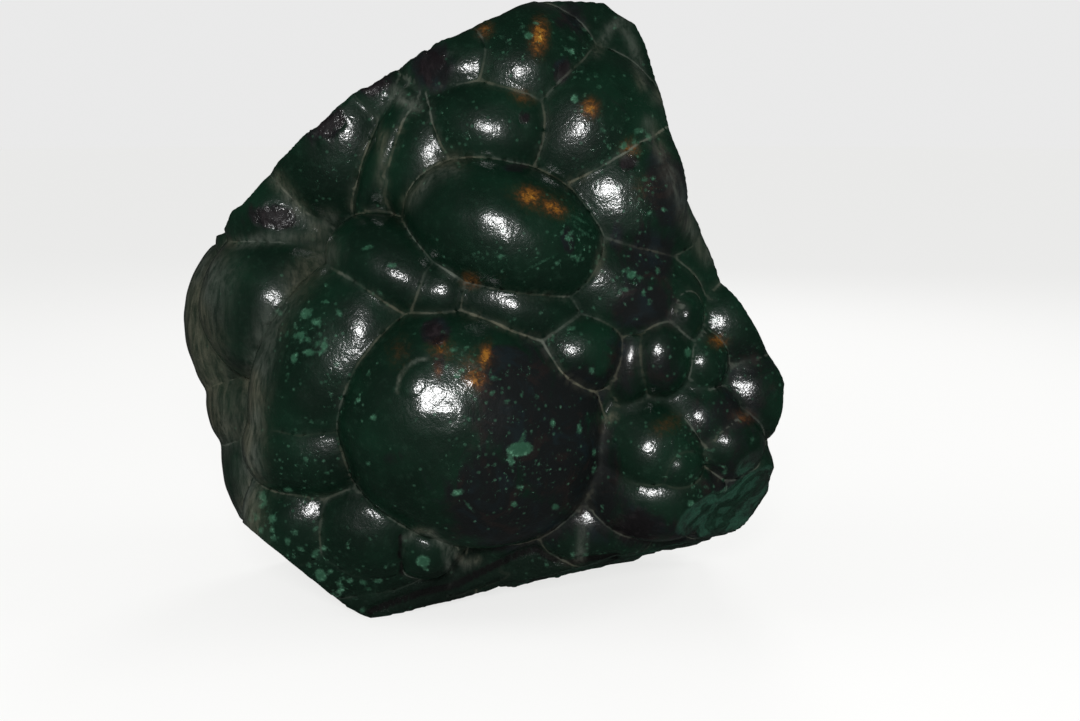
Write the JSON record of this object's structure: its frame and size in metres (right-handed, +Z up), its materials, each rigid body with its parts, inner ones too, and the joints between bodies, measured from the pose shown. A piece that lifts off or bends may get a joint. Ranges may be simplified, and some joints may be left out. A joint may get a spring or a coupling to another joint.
{
  "type": "malachite mineral specimen",
  "caption": "Free-standing malachite specimen: a mass of rounded, polished green domes with a broken rim, a rough back and a flat broken foot, for display.",
  "frame": {"origin": "centre of the bounding box at the level of the flat foot", "axes": "+X to the stone's right as seen from the domed face, +Y away from the viewer towards the broken back, +Z up"},
  "size_m": [0.2178, 0.1532, 0.2125],
  "materials": {
    "malachite": "polished dark green stone with black patches, pale green flecks, a few ochre spots and grey-green dust in the grooves between domes; roughness about 0.24 on the domes, matt on the broken faces"
  },
  "bodies": {
    "root": {"malachite_stone": "malachite"}
  },
  "joints": []
}
